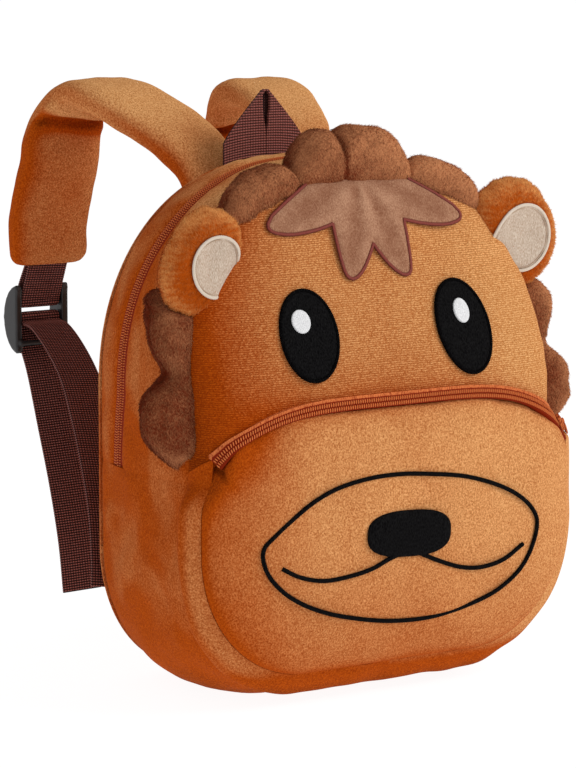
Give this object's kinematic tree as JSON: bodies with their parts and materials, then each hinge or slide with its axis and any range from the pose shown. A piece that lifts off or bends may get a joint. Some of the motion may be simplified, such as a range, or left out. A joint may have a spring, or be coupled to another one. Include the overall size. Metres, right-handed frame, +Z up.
{
  "type": "plush lion backpack",
  "caption": "Small plush backpack with a lion's face, stuffed ears and mane, a zipped main bag, a zipped muzzle pocket, padded straps with webbing sliders and a haul loop.",
  "frame": {"origin": "middle of the flat base that the bag stands on", "axes": "+Z up; the face looks along -Y and the straps hang on +Y; +X is the right side of the picture"},
  "size_m": [0.2418, 0.2277, 0.2714],
  "materials": {
    "plush": "short velvet pile, matte",
    "mane_plush": "longer brushed pile, matte",
    "forelock_plush": "short velvet pile, matte",
    "cream_plush": "short velvet pile, matte",
    "black_thread": "satin embroidery",
    "white_thread": "satin embroidery",
    "zip_coil": "dyed nylon coil, satin",
    "webbing": "ribbed woven webbing, matte",
    "black_plastic": "moulded plastic, satin"
  },
  "bodies": {
    "root": {"back_panel": "plush", "gusset_lower": "plush", "gusset_front": "plush", "gusset_rear": "plush", "front_panel": "plush", "pocket_front": "plush", "pocket_band": "plush", "ear_left": "plush", "ear_right": "plush", "strap_pad_left": "plush", "strap_pad_right": "plush", "mane_tuft": "mane_plush", "mane_roll_left": "mane_plush", "mane_roll_right": "mane_plush", "mane_side_left": "mane_plush", "mane_side_right": "mane_plush", "forelock": "forelock_plush", "ear_inner_left": "cream_plush", "ear_inner_right": "cream_plush", "eye_left": "black_thread", "eye_right": "black_thread", "nose": "black_thread", "muzzle_line": "black_thread", "mouth_line": "black_thread", "eye_glint_left": "white_thread", "eye_glint_right": "white_thread", "main_zip": "zip_coil", "main_zip_slider": "zip_coil", "pocket_zip": "zip_coil", "pocket_zip_slider": "zip_coil", "haul_loop": "webbing", "strap_tab_left": "webbing", "strap_tab_right": "webbing", "strap_web_left": "webbing", "strap_web_right": "webbing", "buckle_left": "black_plastic", "buckle_right": "black_plastic"}
  },
  "joints": []
}
